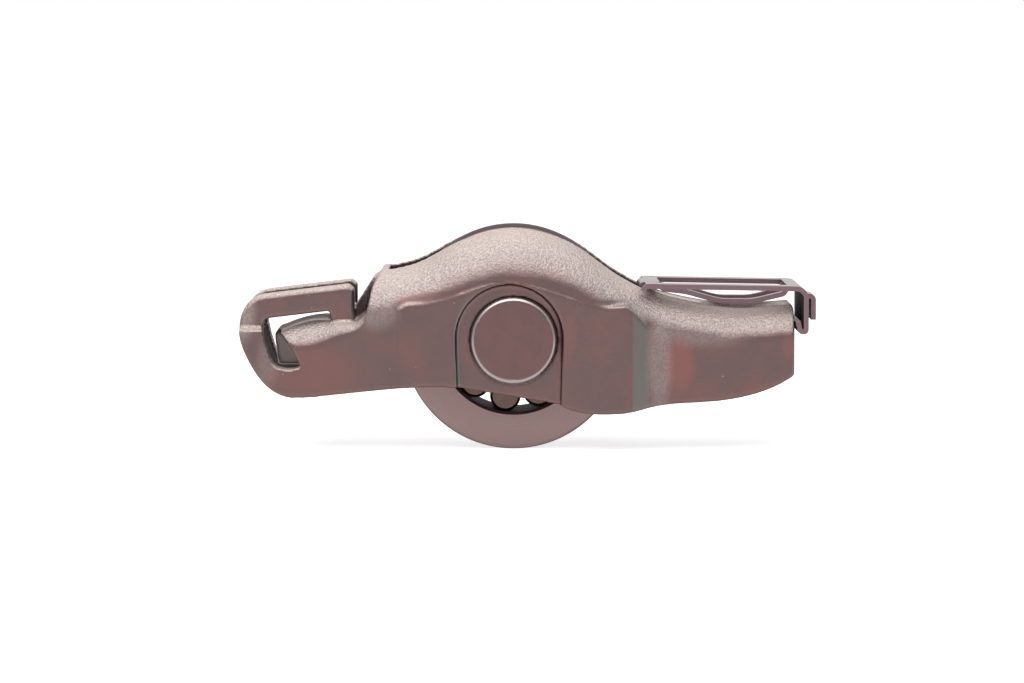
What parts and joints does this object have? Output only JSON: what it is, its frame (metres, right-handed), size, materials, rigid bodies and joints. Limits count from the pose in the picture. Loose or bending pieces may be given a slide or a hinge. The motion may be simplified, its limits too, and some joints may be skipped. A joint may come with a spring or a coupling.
{
  "type": "roller rocker arm",
  "caption": "Stamped-steel roller finger follower: channel arm with needle-bearing cam roller, guided valve pallet and sprung lash-adjuster socket.",
  "frame": {"origin": "centre of the cam roller, on the axle's axis at mid width", "axes": "+X from the valve end to the lash-adjuster end, +Y along the roller's axle, +Z toward the side where the valve stem and the lash adjuster stand"},
  "size_m": [0.0534, 0.0158, 0.0206],
  "materials": {
    "stamped_steel": "tumbled and blasted, dark",
    "axle_steel": "turned, oil-stained",
    "roller_steel": "ground",
    "needle_steel": "ground and polished",
    "spring_steel": "rolled and blued"
  },
  "bodies": {
    "arm_body": {"arm": "stamped_steel", "axle": "axle_steel", "clip": "spring_steel"},
    "roller_body": {"roller": "roller_steel"},
    "needle_set": {"needle_01": "needle_steel", "needle_02": "needle_steel", "needle_03": "needle_steel", "needle_04": "needle_steel", "needle_05": "needle_steel", "needle_06": "needle_steel", "needle_07": "needle_steel", "needle_08": "needle_steel", "needle_09": "needle_steel", "needle_10": "needle_steel", "needle_11": "needle_steel"}
  },
  "joints": [
    {"name": "roller_spin", "type": "hinge", "parent": "arm_body", "child": "roller_body", "pos_m": [0, 0, 0], "axis": [0, 1, 0], "continuous": true},
    {"name": "needle_orbit", "type": "hinge", "parent": "arm_body", "child": "needle_set", "pos_m": [0, 0, 0], "axis": [0, 1, 0], "continuous": true}
  ],
  "couplings": [
    {"joint": "needle_orbit", "follows": "roller_spin", "ratio": 0.6327}
  ]
}
